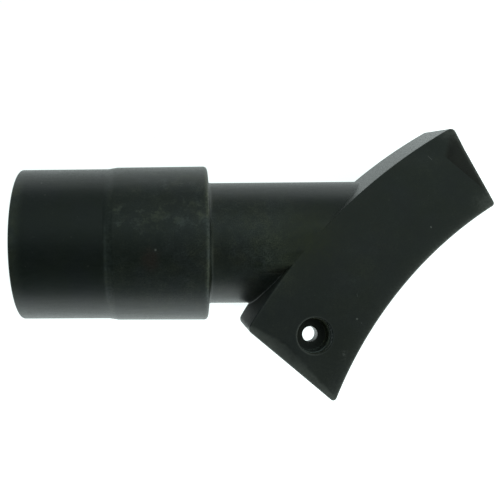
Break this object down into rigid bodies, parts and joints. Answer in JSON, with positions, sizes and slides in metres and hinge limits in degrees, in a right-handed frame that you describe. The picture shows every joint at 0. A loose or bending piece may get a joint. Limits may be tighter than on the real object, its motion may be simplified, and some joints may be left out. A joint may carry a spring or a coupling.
{
  "type": "dust extraction adapter",
  "caption": "Moulded dust nozzle: round hose spigot and neck leading into an arc-shaped hollow block, open on its concave side, with a recessed screw hole in its lower end.",
  "frame": {"origin": "centre of the open hose end, on the tube axis", "axes": "+X along the tube axis from the hose mouth towards the block, +Y towards the block's upper end, +Z normal to the flat front face, pointing away from the back"},
  "size_m": [0.1189, 0.0694, 0.04],
  "materials": {
    "body": "matte moulded black plastic with a fine spark-eroded grain"
  },
  "bodies": {
    "root": {"adapter_body": "body"}
  },
  "joints": []
}
